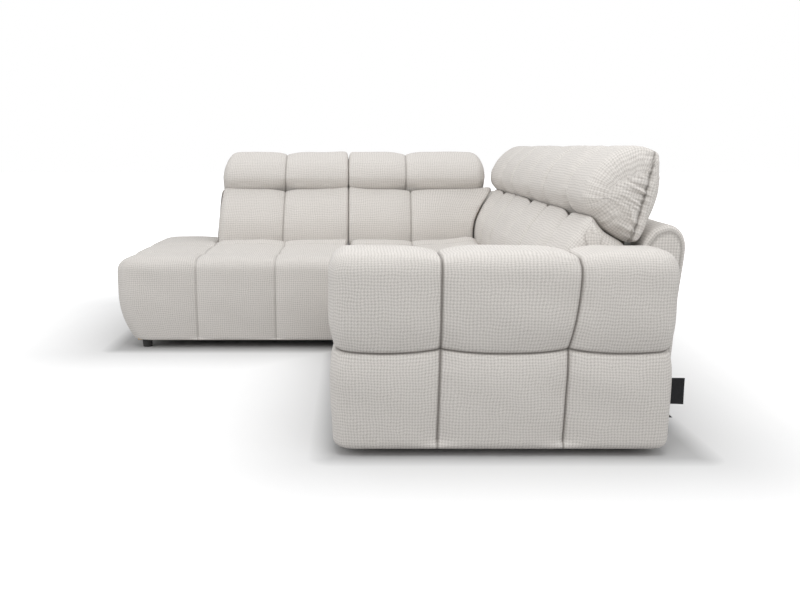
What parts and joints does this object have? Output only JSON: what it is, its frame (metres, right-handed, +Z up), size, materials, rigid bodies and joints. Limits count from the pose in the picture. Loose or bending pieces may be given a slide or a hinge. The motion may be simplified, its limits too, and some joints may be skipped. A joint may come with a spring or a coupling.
{
  "type": "corner sofa",
  "caption": "Corner sofa with tufted fabric upholstery, an open ended ottoman wing, one padded arm and reclining headrests on hinges.",
  "frame": {"origin": "on the floor under the middle of the sofa's bounding box", "axes": "+X from the open end of the ottoman to the back of the main run, +Y from the arm to the far back, +Z up"},
  "size_m": [2.243, 2.72, 0.9609],
  "materials": {
    "cover_fabric": "matte",
    "frame_wood": "matte",
    "spring_steel": "satin",
    "zinc_steel": "satin",
    "foot_plastic": "matte",
    "dust_cloth": "matte",
    "label_cloth": "matte"
  },
  "bodies": {
    "sofa_frame": {"arm_feet": "foot_plastic", "arm_frame": "frame_wood", "arm_pad": "cover_fabric", "blank_label": "label_cloth", "connector_catches": "zinc_steel", "connector_hooks": "zinc_steel", "corner_back_frame": "frame_wood", "corner_back_pad": "cover_fabric", "corner_hinge_bases": "zinc_steel", "corner_lumbar_cushion": "cover_fabric", "corner_seat_cushion": "cover_fabric", "far_hinge_bases": "zinc_steel", "far_lumbar_cushion": "cover_fabric", "middle_hinge_bases": "zinc_steel", "middle_lumbar_cushion": "cover_fabric", "middle_seat_cushion": "cover_fabric", "near_hinge_bases": "zinc_steel", "near_lumbar_cushion": "cover_fabric", "near_seat_cushion": "cover_fabric", "ottoman_back_frame": "frame_wood", "ottoman_back_pad": "cover_fabric", "ottoman_cross_rails": "frame_wood", "ottoman_dust_cover": "dust_cloth", "ottoman_end_border": "cover_fabric", "ottoman_feet": "foot_plastic", "ottoman_front_border": "cover_fabric", "ottoman_hinge_bases": "zinc_steel", "ottoman_long_rails": "frame_wood", "ottoman_lumbar_cushion": "cover_fabric", "ottoman_rear_border": "cover_fabric", "ottoman_seat_cushion": "cover_fabric", "ottoman_seat_springs": "spring_steel", "run_back_frame": "frame_wood", "run_back_pad": "cover_fabric", "run_cross_rails": "frame_wood", "run_dust_cover": "dust_cloth", "run_feet": "foot_plastic", "run_front_border": "cover_fabric", "run_long_rails": "frame_wood", "run_seat_springs": "spring_steel"},
    "near_headrest": {"near_headrest_cushion": "cover_fabric", "near_headrest_board": "frame_wood", "near_hinge_arms": "zinc_steel"},
    "middle_headrest": {"middle_headrest_cushion": "cover_fabric", "middle_headrest_board": "frame_wood", "middle_hinge_arms": "zinc_steel"},
    "far_headrest": {"far_headrest_cushion": "cover_fabric", "far_headrest_board": "frame_wood", "far_hinge_arms": "zinc_steel"},
    "corner_headrest": {"corner_headrest_cushion": "cover_fabric", "corner_headrest_board": "frame_wood", "corner_hinge_arms": "zinc_steel"},
    "ottoman_headrest": {"ottoman_headrest_cushion": "cover_fabric", "ottoman_headrest_board": "frame_wood", "ottoman_hinge_arms": "zinc_steel"}
  },
  "joints": [
    {"name": "near_headrest_hinge", "type": "hinge", "parent": "sofa_frame", "child": "near_headrest", "pos_m": [0.9535, -0.715, 0.715], "axis": [0, 1, 0], "range_deg": [0, 60]},
    {"name": "middle_headrest_hinge", "type": "hinge", "parent": "sofa_frame", "child": "middle_headrest", "pos_m": [0.9535, 0.015, 0.715], "axis": [0, 1, 0], "range_deg": [0, 60]},
    {"name": "far_headrest_hinge", "type": "hinge", "parent": "sofa_frame", "child": "far_headrest", "pos_m": [0.9535, 0.745, 0.715], "axis": [0, 1, 0], "range_deg": [0, 60]},
    {"name": "corner_headrest_hinge", "type": "hinge", "parent": "sofa_frame", "child": "corner_headrest", "pos_m": [0.3715, 1.192, 0.715], "axis": [-1, 0, 0], "range_deg": [0, 60]},
    {"name": "ottoman_headrest_hinge", "type": "hinge", "parent": "sofa_frame", "child": "ottoman_headrest", "pos_m": [-0.3865, 1.192, 0.715], "axis": [-1, 0, 0], "range_deg": [0, 60]}
  ]
}
